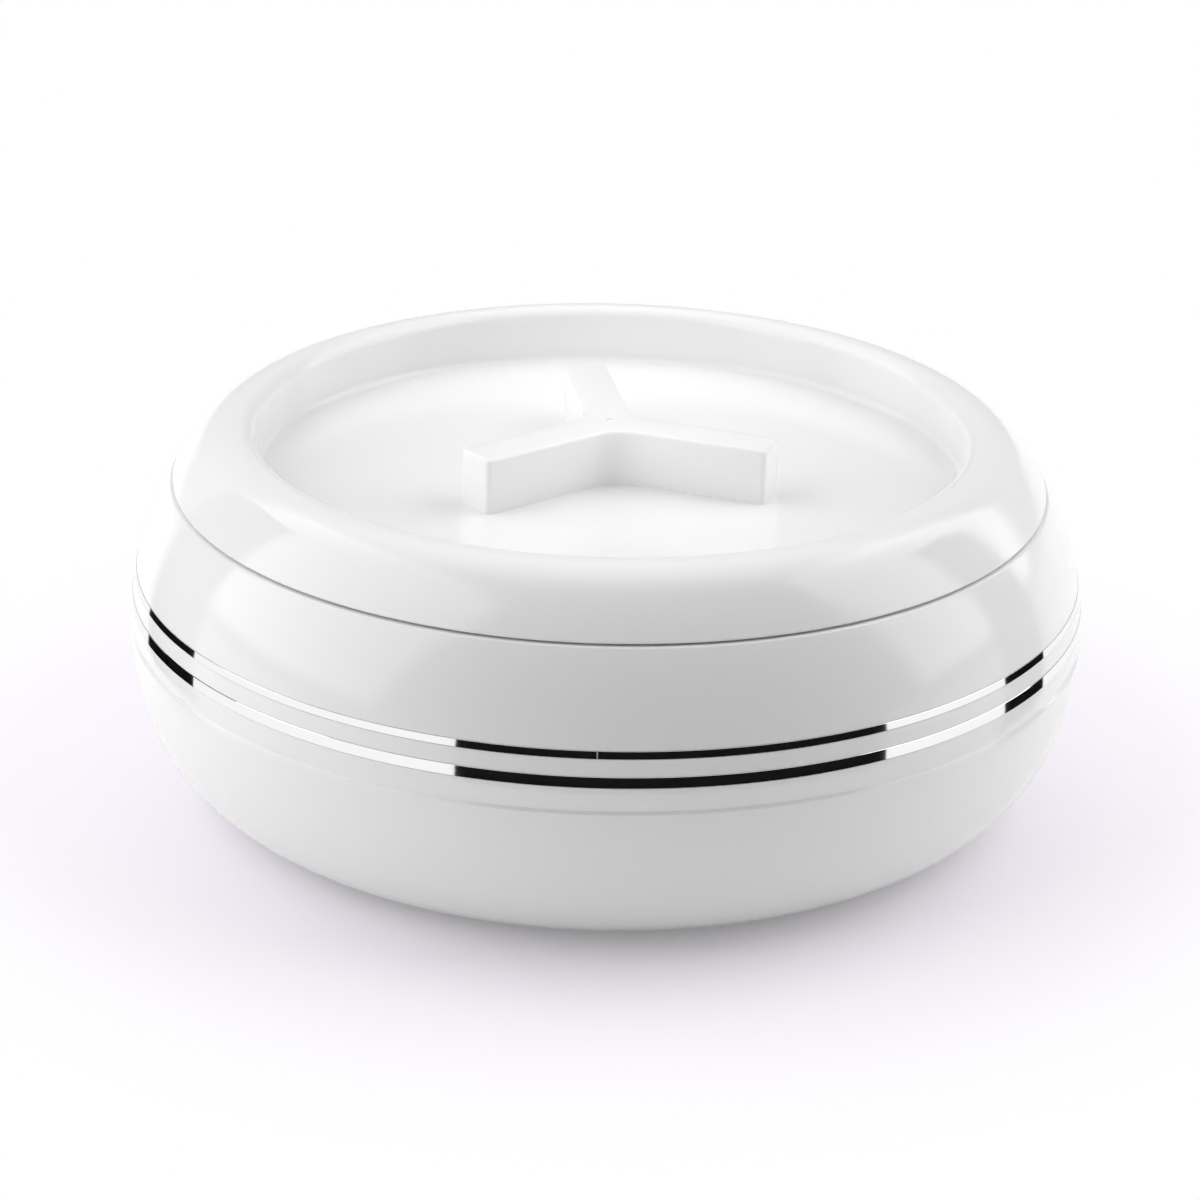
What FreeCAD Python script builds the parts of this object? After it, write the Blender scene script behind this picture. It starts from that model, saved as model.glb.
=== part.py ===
import FreeCAD, Part
import math
import os

# Insulated chapati casserole: a flat round serving pot with a lift-off lid.
# Millimetres. The origin is the centre of the underside, and +Z is up.
# Nearly every piece is a section in the XZ half plane turned about Z, with X as the radius.

# Outside form: a flat foot and four tangent arcs up to the crest of the lid
body_radius = 128.0
waist_z = 45.4
total_height = 100.0
foot_corner_r = 33.6
lower_side_r = 60.1
upper_side_r = 74.5
crest_arc_r = 14.4

# Outer shells of the base
shell_wall = 2.5
foot_width = 8.0
foot_height = 2.0
waist_joint_rise = 1.1
waist_lap = 3.0
waist_edge_round = 0.7
shoulder_round = 0.8

# Plated bands let into the upper shell, placed by their middles above the waist
band_depth = 0.35
band_proud = 0.05
band_joint = 0.35
upper_band_rise = 15.5
upper_band_width = 2.05
lower_band_rise = 8.75
lower_band_width = 2.9
upper_band_joint_at = -90.6
lower_band_joint_at = 90.0

# Lid shell with its dished top
lid_height = 14.8
lid_wall = 2.4
lid_rim_round = 0.5
recess_depth = 14.9
recess_roll_r = 3.8
recess_draft = 2.5
recess_fillet = 2.0
parting_gap = 0.5

# Liner under the lid, with its plug, skirt and bayonet lugs
liner_wall = 1.6
lid_foam = 7.5
side_foam = 1.0
plug_corner_r = 6.0
plug_draft = 3.0
liner_foot_inset = 0.2
lug_count = 3
lug_span = 20.0
lug_offset = 30.0
lug_thickness = 1.4
lug_reach = 2.2
lug_gap = 0.3
lug_twist = 25.0
lug_stop_span = 4.0
lug_stop_clear = 0.6
neck_lug_at = 39.5
neck_wall = 3.0
neck_lip = 0.4
neck_edge_round = 0.2

# Steel bowl and the seal on the neck ring
steel = 0.5
plug_gap = 0.8
bowl_draft = 2.0
bowl_corner_r = 18.0
bowl_flange = 2.4
bowl_floor_foam = 14.0
mouth_round = 1.2
seal_thickness = 1.4
seal_round = 0.4

# Three-arm grip and its screws
arm_count = 3
arm_first = 99.5
arm_reach = 45.5
arm_width = 11.8
arm_web_r = 12.0
arm_corner_r = 1.5
arm_inner_corner_r = 0.3
grip_height = 14.9
grip_wall = 2.2
grip_top_round = 0.9
gate_mark_r = 1.5
gate_mark_depth = 0.3
screw_circle_r = 30.0
boss_r = 4.0
screw_r = 1.4
screw_bite = 8.0
screw_head_r = 3.0
screw_head_height = 1.8
pilot_depth = 9.0

# Plug that closes the filling hole in the base
filler_hole_r = 9.0
filler_head_r = 13.0
filler_head_height = 1.2
filler_edge_round = 0.4
filler_lip = 0.6
filler_stem = 4.0

# Clearances
bond_gap = 0.1
foam_gap = 0.15
seat_gap = 0.15
running_gap = 0.5
pilot_gap = 0.05

# Two lengths count as equal when they differ by less than this
same = 0.02

# Levels and radii that follow from the sizes above
Z_AXIS = FreeCAD.Vector(0, 0, 1)
ORIGIN = FreeCAD.Vector(0, 0, 0)
far = 3 * body_radius
lower_centre_r = body_radius - lower_side_r
upper_centre_r = body_radius - upper_side_r
foot_r = lower_centre_r + math.sqrt((lower_side_r - foot_corner_r) ** 2 - (waist_z - foot_corner_r) ** 2)
crest_z = total_height - crest_arc_r
crest_r = upper_centre_r + math.sqrt((upper_side_r - crest_arc_r) ** 2 - (crest_z - waist_z) ** 2)
foot_inner_r = foot_r - foot_width
waist_joint_z = waist_z + waist_joint_rise
rim_z = total_height - lid_height
shoulder_z = rim_z - parting_gap
recess_floor_z = total_height - recess_depth
lid_under_z = recess_floor_z - lid_wall
plug_inner_r = crest_r - recess_roll_r + lid_wall + side_foam
plug_r = plug_inner_r + liner_wall
plug_bottom_z = lid_under_z - lid_foam - liner_wall
mouth_r = plug_r + plug_gap
neck_inner_r = mouth_r + steel
neck_r = neck_inner_r + neck_wall
neck_lug_r = neck_r + lug_reach
skirt_inner_r = neck_lug_r + running_gap
skirt_r = skirt_inner_r + liner_wall
lid_lug_z = rim_z + liner_foot_inset
neck_lug_z = lid_lug_z + lug_thickness + lug_gap
neck_top_z = neck_lug_z + lug_thickness + neck_lip
seal_z = neck_top_z + seat_gap
flange_z = seal_z + seal_thickness + seat_gap
flange_top_z = flange_z + liner_wall
base_top_z = foot_height + shell_wall
bowl_floor_z = base_top_z + bowl_floor_foam + steel
bend_z = shoulder_z + steel - mouth_round
pilot_r = screw_r + pilot_gap


def section(*steps):
    """Closed face in the XZ half plane.

    A step of two numbers is a corner (r, z). A step of four is an arc about its first
    pair, by the short way, to the point in its second pair. All faces look towards -Y,
    because faces that look opposite ways don't join.
    """
    edges = []
    here = steps[0]
    for step in steps[1:] + (steps[0],):
        there = step[-2:]
        start = FreeCAD.Vector(here[0], 0, here[1])
        end = FreeCAD.Vector(there[0], 0, there[1])
        if len(step) == 2:
            edges.append(Part.LineSegment(start, end).toShape())
        else:
            centre = FreeCAD.Vector(step[0], 0, step[1])
            radius = (start - centre).Length
            middle = centre + (start - centre + end - centre).normalize() * radius
            edges.append(Part.Arc(start, middle, end).toShape())
        here = there
    wire = Part.Wire(edges)
    face = Part.Face(wire)
    if face.normalAt(0, 0).y > 0:
        wire.reverse()
        face = Part.Face(wire)
    return face


def block(r0, r1, z0, z1):
    """Rectangular section between two radii and two heights."""
    return section((r0, z0), (r1, z0), (r1, z1), (r0, z1))


def one_face(shape):
    """The shape's largest face, once faces that meet in its plane are joined."""
    return max(shape.removeSplitter().Faces, key=lambda face: face.Area)


def joined(face, *others):
    return one_face(face.fuse(list(others)))


def less(face, *others):
    return one_face(face.cut(list(others)))


def within(face, other):
    return one_face(face.common(other))


def turned(face, start=0.0, sweep=360.0):
    """Solid of a section turned about Z through a sweep that begins at an angle."""
    solid = face.revolve(ORIGIN, Z_AXIS, sweep)
    solid.rotate(ORIGIN, Z_AXIS, start)
    return solid


def one_solid(shape):
    """The shape's only solid, with faces that lie on one surface joined."""
    return shape.removeSplitter().Solids[0]


def rounded_rings(solid, radius, rings):
    """Round the circular edges that have the given radii and heights."""
    chosen = []
    for edge in solid.Edges:
        if not isinstance(edge.Curve, Part.Circle):
            continue
        for r, z in rings:
            if abs(edge.Curve.Radius - r) < same and abs(edge.Curve.Center.z - z) < same:
                chosen.append(edge)
    return solid.makeFillet(radius, chosen)


def outside_r(z):
    """Radius of the outside form at a height between the waist and the crest arc."""
    return upper_centre_r + math.sqrt(upper_side_r ** 2 - (z - waist_z) ** 2)


def toward(centre, other, radius):
    """Point at a radius from a centre, on the far side from another centre."""
    dr = centre[0] - other[0]
    dz = centre[1] - other[1]
    length = math.hypot(dr, dz)
    return centre[0] + dr * radius / length, centre[1] + dz * radius / length


def skin(inset):
    """Everything inside the outside form, shrunk by an inset."""
    foot = (foot_r, foot_corner_r)
    lower = (lower_centre_r, waist_z)
    upper = (upper_centre_r, waist_z)
    crest = (crest_r, crest_z)
    return section(
        (0, inset),
        (foot_r, inset),
        foot + toward(foot, lower, foot_corner_r - inset),
        lower + (body_radius - inset, waist_z),
        upper + toward(crest, upper, crest_arc_r - inset),
        crest + (crest_r, total_height - inset),
        (0, total_height - inset),
    )


def recess_air(grow):
    """The dish in the top of the lid with the air above it, grown by an amount."""
    slope = math.radians(recess_draft)
    roll_z = total_height - recess_roll_r
    roll = recess_roll_r - grow
    top = (crest_r - roll * math.cos(slope), roll_z - roll * math.sin(slope))
    corner = recess_fillet + grow
    corner_z = recess_floor_z + recess_fillet
    run = top[0] - corner * math.cos(slope)
    corner_r = run - (top[1] - corner * math.sin(slope) - corner_z) * math.tan(slope)
    wall_foot = (corner_r + corner * math.cos(slope), corner_z - corner * math.sin(slope))
    return section(
        (0, recess_floor_z - grow),
        (corner_r, recess_floor_z - grow),
        (corner_r, corner_z) + wall_foot,
        top,
        (crest_r, roll_z) + (crest_r, total_height - grow),
        (crest_r, 2 * total_height),
        (0, 2 * total_height),
    )


def lid_form(inset):
    """The lid's outside form with its dish, shrunk by an inset."""
    return less(skin(inset), recess_air(inset))


def cup(rim_r, rim_level, floor_level, corner, draft, grow):
    """Inside of a tapered cup with a round bottom corner, grown by an amount."""
    slope = math.radians(draft)
    centre_z = floor_level + corner
    centre_r = rim_r - (corner + (rim_level - centre_z) * math.sin(slope)) / math.cos(slope)
    radius = corner + grow
    side = (centre_r + radius * math.cos(slope), centre_z - radius * math.sin(slope))
    return section(
        (0, floor_level - grow),
        (centre_r, floor_level - grow),
        (centre_r, centre_z) + side,
        (rim_r + grow, rim_level),
        (0, rim_level),
    )


def bowl_form(grow):
    return cup(mouth_r, bend_z, bowl_floor_z, bowl_corner_r, bowl_draft, grow)


def plug_form(grow):
    return cup(plug_r, flange_z, plug_bottom_z, plug_corner_r, plug_draft, grow)


def lower_shell():
    """Outer bottom of the base, with a stepped foot and a lap for the upper shell."""
    wall = within(less(skin(0), skin(shell_wall)), block(0, far, 0, waist_joint_z))
    wall = less(wall, block(0, foot_inner_r, 0, foot_height))
    wall = joined(wall, block(filler_hole_r, foot_inner_r + shell_wall, foot_height, base_top_z))
    wall = less(wall, block(0, filler_hole_r, 0, base_top_z + shell_wall))
    lap = within(skin(shell_wall / 2), block(0, far, waist_joint_z - waist_lap, far))
    solid = turned(less(wall, lap))
    edge_r = outside_r(waist_joint_z)
    return rounded_rings(solid, waist_edge_round, [(edge_r, waist_joint_z)])


def upper_shell():
    """Outer side of the base, from the waist up to the shoulder under the lid."""
    wall = within(less(skin(0), skin(shell_wall)), block(0, far, waist_joint_z, shoulder_z))
    neck_hole_r = mouth_r + steel + mouth_round
    plate = within(skin(0), block(neck_hole_r, far, shoulder_z - shell_wall, shoulder_z))
    tongue_z = waist_joint_z - waist_lap + bond_gap
    tongue = less(skin(shell_wall / 2 + bond_gap), skin(shell_wall))
    tongue = within(tongue, block(0, far, tongue_z, waist_joint_z + shell_wall))
    face = joined(wall, plate, tongue)
    for rise, width in ((upper_band_rise, upper_band_width), (lower_band_rise, lower_band_width)):
        middle = waist_z + rise
        groove = less(skin(-shell_wall), skin(band_depth))
        face = less(face, within(groove, block(0, far, middle - width / 2, middle + width / 2)))
    solid = turned(face)
    return rounded_rings(solid, shoulder_round, [(outside_r(shoulder_z), shoulder_z)])


def band(rise, width, joint_at):
    """Plated strip bent round the pot, with a butt joint between its ends."""
    middle = waist_z + rise
    half = width / 2 - bond_gap / 2
    face = less(skin(-band_proud), skin(band_depth - bond_gap / 2))
    face = within(face, block(0, far, middle - half, middle + half))
    gap = math.degrees(band_joint / outside_r(middle))
    return turned(face, joint_at + gap / 2, 360 - gap)


def inner_bowl():
    """Pressed steel bowl with a flat rim under the neck ring."""
    wall = less(bowl_form(steel), bowl_form(0))
    bend_r = mouth_r + mouth_round
    bend = section(
        (mouth_r, bend_z),
        (bend_r, bend_z, bend_r, shoulder_z + steel),
        (bend_r, shoulder_z),
        (bend_r, bend_z, mouth_r + steel, bend_z),
    )
    flange = block(bend_r, mouth_r + bowl_flange, shoulder_z, shoulder_z + steel)
    return turned(joined(wall, bend, flange))


def lug_middles(first):
    return [first + 360.0 * k / lug_count for k in range(lug_count)]


def neck_ring():
    """Ring that traps the bowl's rim and carries the outward lugs."""
    flange_r = mouth_r + bowl_flange + bond_gap
    face = block(neck_inner_r, neck_r, shoulder_z, neck_top_z)
    ring = turned(less(face, block(0, flange_r, 0, shoulder_z + steel + bond_gap)))
    edges = [(neck_inner_r, neck_top_z), (neck_r, neck_top_z)]
    ring = rounded_rings(ring, neck_edge_round, edges)
    for middle in lug_middles(neck_lug_at):
        lug = block(neck_r - neck_lip, neck_lug_r, neck_lug_z, neck_lug_z + lug_thickness)
        ring = ring.fuse(turned(lug, middle - lug_span / 2, lug_span))
        stop_end = middle + lug_offset - lug_span / 2 - lug_twist - lug_stop_clear
        stop = block(neck_r - neck_lip, neck_lug_r, shoulder_z, neck_lug_z + lug_thickness)
        ring = ring.fuse(turned(stop, stop_end - lug_stop_span, lug_stop_span))
    return one_solid(ring)


def lid_seal():
    """Flat silicone ring between the neck ring and the liner's flange."""
    ring = turned(block(plug_r + seat_gap, neck_r, seal_z, seal_z + seal_thickness))
    edges = [(neck_r, seal_z), (neck_r, seal_z + seal_thickness)]
    return rounded_rings(ring, seal_round, edges)


def body_insulation():
    """Foam between the outer shells and the steel bowl."""
    pocket_r = filler_hole_r + filler_lip + foam_gap
    plate_r = foot_inner_r + shell_wall + foam_gap
    space = within(skin(shell_wall + foam_gap), block(0, far, 0, shoulder_z - shell_wall - foam_gap))
    face = less(
        space,
        bowl_form(steel + foam_gap),
        block(0, plate_r, 0, base_top_z + foam_gap),
        block(0, pocket_r, 0, foot_height + filler_stem + foam_gap),
    )
    return turned(face)


def foam_fill_plug():
    """Round plug with a snap lip in the filling hole of the base."""
    stem_r = filler_hole_r - bond_gap
    head_z = foot_height - filler_head_height
    top_z = foot_height + filler_stem
    lip_z = base_top_z + bond_gap
    face = section(
        (0, head_z),
        (filler_head_r, head_z),
        (filler_head_r, foot_height),
        (stem_r, foot_height),
        (stem_r, lip_z),
        (filler_hole_r + filler_lip, lip_z),
        (stem_r, top_z),
        (0, top_z),
    )
    return rounded_rings(turned(face), filler_edge_round, [(filler_head_r, head_z)])


def lid_shell():
    """Moulded top of the lid, with its dish and the holes for the grip's screws."""
    wall = less(lid_form(0), lid_form(lid_wall))
    wall = less(wall, block(plug_r, far, -far, rim_z), block(0, far, -far, lid_under_z))
    solid = turned(wall)
    solid = rounded_rings(solid, lid_rim_round, [(outside_r(rim_z), rim_z)])
    for x, y in screw_places():
        hole = Part.makeCylinder(screw_r + bond_gap, lid_wall, FreeCAD.Vector(x, y, lid_under_z))
        solid = solid.cut(hole)
    return solid


def lid_liner():
    """Underside of the lid: a plug into the bowl, a flange, and a skirt with lugs."""
    inside = lid_form(lid_wall + bond_gap)
    plug = less(plug_form(0), plug_form(-liner_wall))
    hollow = within(lid_form(lid_wall + bond_gap + liner_wall), block(0, skirt_inner_r, 0, flange_z))
    collar = less(block(plug_inner_r, skirt_r, lid_lug_z, flange_top_z), hollow)
    foot = block(skirt_r, far, lid_lug_z, lid_lug_z + lug_thickness)
    solid = turned(within(joined(collar, foot, plug), inside))
    lug_inner_r = neck_r + running_gap
    for middle in lug_middles(neck_lug_at + lug_offset):
        lug = block(lug_inner_r, skirt_r, lid_lug_z, lid_lug_z + lug_thickness)
        solid = solid.fuse(turned(lug, middle - lug_span / 2, lug_span))
    return one_solid(solid)


def lid_insulation():
    """Foam between the lid shell and its liner."""
    under = plug_form(-liner_wall - foam_gap)
    neck = block(0, plug_inner_r - foam_gap, flange_z, flange_top_z + foam_gap)
    above = block(0, far, flange_top_z + foam_gap, total_height)
    solid = turned(within(lid_form(lid_wall + foam_gap), joined(under, neck, above)))
    for x, y in screw_places():
        low = lid_under_z - screw_head_height - foam_gap
        pocket = Part.makeCylinder(screw_head_r + foam_gap, far, FreeCAD.Vector(x, y, low))
        solid = solid.cut(pocket)
    return solid


def arm_angles():
    return [math.radians(arm_first + 360.0 * k / arm_count) for k in range(arm_count)]


def screw_places():
    return [(screw_circle_r * math.cos(a), screw_circle_r * math.sin(a)) for a in arm_angles()]


def around(angle, along, across):
    """Point of the plan, measured along and across an arm at an angle."""
    x = along * math.cos(angle) - across * math.sin(angle)
    y = along * math.sin(angle) + across * math.cos(angle)
    return FreeCAD.Vector(x, y, 0)


def line(start, end):
    return Part.LineSegment(start, end).toShape()


def arc(start, middle, end):
    return Part.Arc(start, middle, end).toShape()


def grip_outline(inset):
    """Outline of the three arms, joined by round webs, moved inwards by an inset."""
    half = arm_width / 2 - inset
    web = arm_web_r + inset
    end = arm_reach - inset
    corner = max(arm_corner_r - inset, arm_inner_corner_r)
    step = math.pi / arm_count
    web_centre = (half + web) / math.sin(step)
    straight = (half + web) / math.tan(step)
    bulge = corner * (1 - math.sqrt(0.5))
    edges = []
    for angle in arm_angles():
        near_right = around(angle, straight, -half)
        far_right = around(angle, end - corner, -half)
        right_bulge = around(angle, end - bulge, bulge - half)
        end_right = around(angle, end, corner - half)
        end_left = around(angle, end, half - corner)
        left_bulge = around(angle, end - bulge, half - bulge)
        far_left = around(angle, end - corner, half)
        near_left = around(angle, straight, half)
        web_middle = around(angle + step, web_centre - web, 0)
        next_right = around(angle + 2 * step, straight, -half)
        edges.append(line(near_right, far_right))
        edges.append(arc(far_right, right_bulge, end_right))
        edges.append(line(end_right, end_left))
        edges.append(arc(end_left, left_bulge, far_left))
        edges.append(line(far_left, near_left))
        edges.append(arc(near_left, web_middle, next_right))
    return Part.Face(Part.Wire(edges))


def lid_handle():
    """Hollow three-arm grip with a screw boss in each arm."""
    solid = grip_outline(0).extrude(FreeCAD.Vector(0, 0, grip_height))
    top_edges = [edge for edge in solid.Edges if edge.BoundBox.ZMin > grip_height - same]
    solid = solid.makeFillet(grip_top_round, top_edges)
    hollow = grip_outline(grip_wall).extrude(FreeCAD.Vector(0, 0, grip_height - grip_wall))
    for x, y in screw_places():
        boss = Part.makeCylinder(boss_r, grip_height, FreeCAD.Vector(x, y, 0))
        hollow = hollow.cut(boss)
    solid = solid.cut(hollow)
    for x, y in screw_places():
        solid = solid.cut(Part.makeCylinder(pilot_r, pilot_depth, FreeCAD.Vector(x, y, 0)))
    mark_z = grip_height - gate_mark_depth
    solid = solid.cut(Part.makeCylinder(gate_mark_r, grip_height, FreeCAD.Vector(0, 0, mark_z)))
    solid.translate(FreeCAD.Vector(0, 0, recess_floor_z))
    return solid


def handle_screws():
    """Self-tapping screws that pull the grip down from inside the lid."""
    screws = []
    for x, y in screw_places():
        head_z = lid_under_z - screw_head_height
        head = Part.makeCylinder(screw_head_r, screw_head_height, FreeCAD.Vector(x, y, head_z))
        shank = Part.makeCylinder(screw_r, lid_wall + screw_bite, FreeCAD.Vector(x, y, lid_under_z))
        screws.append(head.fuse(shank).removeSplitter())
    return Part.makeCompound([s.Solids[0] for s in screws])


nodes = {
    "lower_shell": lower_shell(),
    "upper_shell": upper_shell(),
    "upper_band": band(upper_band_rise, upper_band_width, upper_band_joint_at),
    "lower_band": band(lower_band_rise, lower_band_width, lower_band_joint_at),
    "inner_bowl": inner_bowl(),
    "neck_ring": neck_ring(),
    "body_insulation": body_insulation(),
    "foam_fill_plug": foam_fill_plug(),
    "lid_seal": lid_seal(),
    "lid_shell": lid_shell(),
    "lid_liner": lid_liner(),
    "lid_insulation": lid_insulation(),
    "lid_handle": lid_handle(),
    "handle_screws": handle_screws(),
}

os.makedirs("parts", exist_ok=True)
for name, shape in nodes.items():
    shape.exportStep(f"parts/{name}.step")
    box = shape.optimalBoundingBox(False)
    volume = shape.Volume / 1000
    print(f"{name:16s} solids {len(shape.Solids)} valid {shape.isValid()} volume {volume:8.2f} cm3", end="")
    print(f"  x to {box.XMax:7.2f}  z {box.ZMin:6.2f} to {box.ZMax:6.2f}")
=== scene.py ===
# %% [markdown]
# An insulated chapati casserole: a flat round pot of white moulded plastic with a steel bowl
# inside, two plated bands round its shoulder, and a dished lid with a three-arm grip.
# Every piece but the grip is round, so this lesson draws half sections with the extrude and
# spin tools and turns them about the pot's axis, as a lathe would.
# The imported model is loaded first. It fixes each piece's size and place.

# %% Load the frame
import math

import bmesh
import bpy
from mathutils import Matrix, Vector


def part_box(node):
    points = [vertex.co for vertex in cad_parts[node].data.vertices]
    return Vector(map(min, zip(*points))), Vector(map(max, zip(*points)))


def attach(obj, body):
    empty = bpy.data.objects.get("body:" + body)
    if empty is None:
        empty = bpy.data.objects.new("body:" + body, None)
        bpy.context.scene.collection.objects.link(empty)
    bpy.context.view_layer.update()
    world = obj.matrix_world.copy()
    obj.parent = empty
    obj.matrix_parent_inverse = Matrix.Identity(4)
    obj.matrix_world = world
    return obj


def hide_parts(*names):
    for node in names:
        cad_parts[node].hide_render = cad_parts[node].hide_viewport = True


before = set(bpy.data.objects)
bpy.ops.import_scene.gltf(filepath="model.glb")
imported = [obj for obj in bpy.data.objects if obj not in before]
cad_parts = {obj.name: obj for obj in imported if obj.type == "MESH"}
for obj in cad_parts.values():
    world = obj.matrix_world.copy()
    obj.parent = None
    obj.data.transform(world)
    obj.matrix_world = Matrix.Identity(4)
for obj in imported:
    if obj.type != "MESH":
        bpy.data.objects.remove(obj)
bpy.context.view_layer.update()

print("pieces in the frame:", sorted(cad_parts))

# %% [markdown]
# Sizes are written in millimetres, as on the maker's drawing, and turned to metres where a
# tool needs them. The outside of the pot is four arcs that run into each other: foot corner,
# lower side, upper side and the crest of the lid. The pieces' heights come from the frame.

# %% Sizes of the outside form
MM = 0.001
body_radius = 128.0
waist_z = 45.4
foot_corner_r = 33.6
lower_side_r = 60.1
upper_side_r = 74.5
crest_arc_r = 14.4
shell_wall = 2.5
lid_wall = 2.4


def level(node, corner):
    """Height of a node's lowest (0) or highest (1) corner, in millimetres."""
    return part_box(node)[corner][2] / MM


total_height = level("lid_shell", 1)
lower_centre = (body_radius - lower_side_r, waist_z)
upper_centre = (body_radius - upper_side_r, waist_z)
foot_reach = math.sqrt((lower_side_r - foot_corner_r) ** 2 - (waist_z - foot_corner_r) ** 2)
foot_centre = (lower_centre[0] + foot_reach, foot_corner_r)
crest_z = total_height - crest_arc_r
crest_reach = math.sqrt((upper_side_r - crest_arc_r) ** 2 - (crest_z - waist_z) ** 2)
crest_centre = (upper_centre[0] + crest_reach, crest_z)
waist_joint_z = level("lower_shell", 1)
shoulder_z = level("upper_shell", 1)
recess_floor_z = level("lid_handle", 0)
print("foot radius", round(foot_centre[0], 2), "crest radius", round(crest_centre[0], 2))

# %% [markdown]
# A half section is one closed line. A pen draws it: a plane primitive is merged to a single
# vertex, a straight stretch extrudes that vertex, and a round stretch spins it about the
# arc's centre. An arc gets enough steps that no facet shows in a glossy wall.

# %% A pen for outlines
SIDE = (0, 1, 0)
TOP = (0, 0, 1)
lathe_steps = 360
arc_step_mm = 1.6
arc_step_angle = math.radians(10)
merge_distance = 0.004 * MM


def deselect_all():
    if bpy.context.object and bpy.context.object.mode == "EDIT":
        bpy.ops.object.mode_set(mode="OBJECT")
    for obj in bpy.context.selected_objects:
        obj.select_set(False)


def in_plane(a, b, plane):
    """Vector of two coordinates in millimetres: (x, z) from the side, (x, y) from the top."""
    return Vector((a, 0, b)) * MM if plane == SIDE else Vector((a, b, 0)) * MM


def pen(name, point):
    """Start a mesh with a single selected vertex, left in edit mode."""
    deselect_all()
    bpy.ops.mesh.primitive_plane_add(size=MM)
    piece = bpy.context.object
    piece.name = name
    piece.data.name = name
    bpy.ops.object.mode_set(mode="EDIT")
    bpy.ops.mesh.select_mode(type="VERT")
    bpy.ops.mesh.select_all(action="SELECT")
    bpy.ops.mesh.merge(type="CENTER")
    bpy.ops.transform.translate(value=point)
    return piece


def outline(name, steps, plane=SIDE):
    """Draw a closed outline. Two numbers are a point; four are an arc's centre and its end."""
    piece = pen(name, in_plane(*steps[0], plane))
    here = steps[0]
    for step in steps[1:] + [steps[0]]:
        there = step[-2:]
        if len(step) == 2:
            move = in_plane(there[0] - here[0], there[1] - here[1], plane)
            bpy.ops.mesh.extrude_vertices_move(TRANSFORM_OT_translate={"value": move})
        else:
            start = math.atan2(here[1] - step[1], here[0] - step[0])
            end = math.atan2(there[1] - step[1], there[0] - step[0])
            sweep = (end - start + math.pi) % (2 * math.pi) - math.pi
            length = abs(sweep) * math.hypot(here[0] - step[0], here[1] - step[1])
            parts = max(2, math.ceil(length / arc_step_mm), math.ceil(abs(sweep) / arc_step_angle))
            sign = 1 if plane == SIDE else -1
            centre = in_plane(step[0], step[1], plane)
            bpy.ops.mesh.spin(steps=parts, angle=sign * sweep, center=centre, axis=plane)
        here = there
    bpy.ops.mesh.select_all(action="SELECT")
    bpy.ops.mesh.remove_doubles(threshold=merge_distance)
    return piece


def toward(centre, other, radius):
    """Point at a radius from a centre, on the far side from another centre."""
    away = Vector(centre) - Vector(other)
    return tuple(Vector(centre) + away.normalized() * radius)


def rounded(before, corner, after, radius):
    """Two steps that round a corner between straight stretches: up to the arc, then round it."""
    a = (Vector(before) - Vector(corner)).normalized()
    b = (Vector(after) - Vector(corner)).normalized()
    half = a.angle(b) / 2
    start = Vector(corner) + a * radius / math.tan(half)
    end = Vector(corner) + b * radius / math.tan(half)
    middle = Vector(corner) + (a + b).normalized() * radius / math.sin(half)
    return [tuple(start), tuple(middle) + tuple(end)]


def path(points, radii):
    """Steps of a straight-sided closed outline with its corners rounded by the radii given."""
    steps = []
    for k, radius in enumerate(radii):
        if radius:
            steps += rounded(points[k - 1], points[k], points[(k + 1) % len(points)], radius)
        else:
            steps.append(points[k])
    return steps


print("an arc turns by", round(math.degrees(arc_step_angle)), "degrees a step at most")

# %% [markdown]
# The lathe turns the outline about the upright axis. Its first and last copies fall on each
# other, and so do all copies of a point on the axis, so near vertices are merged and the
# normals are turned outwards. A strip with a butt joint is turned short of a full circle, and
# its two open ends are filled.

# %% A lathe
smooth_angle = math.radians(28)


def smooth(piece):
    """Shade a piece smooth, but keep its edges sharp above the smooth angle."""
    deselect_all()
    piece.select_set(True)
    bpy.context.view_layer.objects.active = piece
    bpy.ops.object.shade_smooth_by_angle(angle=smooth_angle)


def lathe(piece, segments=lathe_steps, gap=0.0, gap_at=0.0):
    """Turn the open outline about Z, leaving a gap (in degrees) centred on an angle."""
    sweep = math.radians(360 - gap)
    bpy.ops.mesh.select_all(action="SELECT")
    bpy.ops.mesh.spin(steps=segments, angle=-sweep, center=(0, 0, 0), axis=TOP)
    bpy.ops.mesh.select_all(action="SELECT")
    bpy.ops.mesh.remove_doubles(threshold=merge_distance)
    if gap:
        bpy.ops.mesh.select_all(action="DESELECT")
        bpy.ops.mesh.select_non_manifold()
        bpy.ops.mesh.edge_face_add()
    bpy.ops.mesh.select_all(action="SELECT")
    bpy.ops.mesh.normals_make_consistent(inside=False)
    bpy.ops.object.mode_set(mode="OBJECT")
    piece.data.transform(Matrix.Rotation(math.radians(gap_at + gap / 2), 4, "Z"))
    smooth(piece)
    print(piece.name, "faces", len(piece.data.polygons))
    return piece


print("edges stay sharp above", round(math.degrees(smooth_angle)), "degrees")

# %% [markdown]
# Each material starts from what the real one is. One function turns a hex colour to the
# linear values that Blender works in, and one adds a node with its settings and links.

# %% Helpers for materials
def srgb(code):
    """Linear colour, with alpha, of a hex code such as 'f4f4f2'."""
    values = [int(code[k:k + 2], 16) / 255 for k in (0, 2, 4)]
    linear = [v / 12.92 if v <= 0.04045 else ((v + 0.055) / 1.055) ** 2.4 for v in values]
    return (*linear, 1.0)


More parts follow.
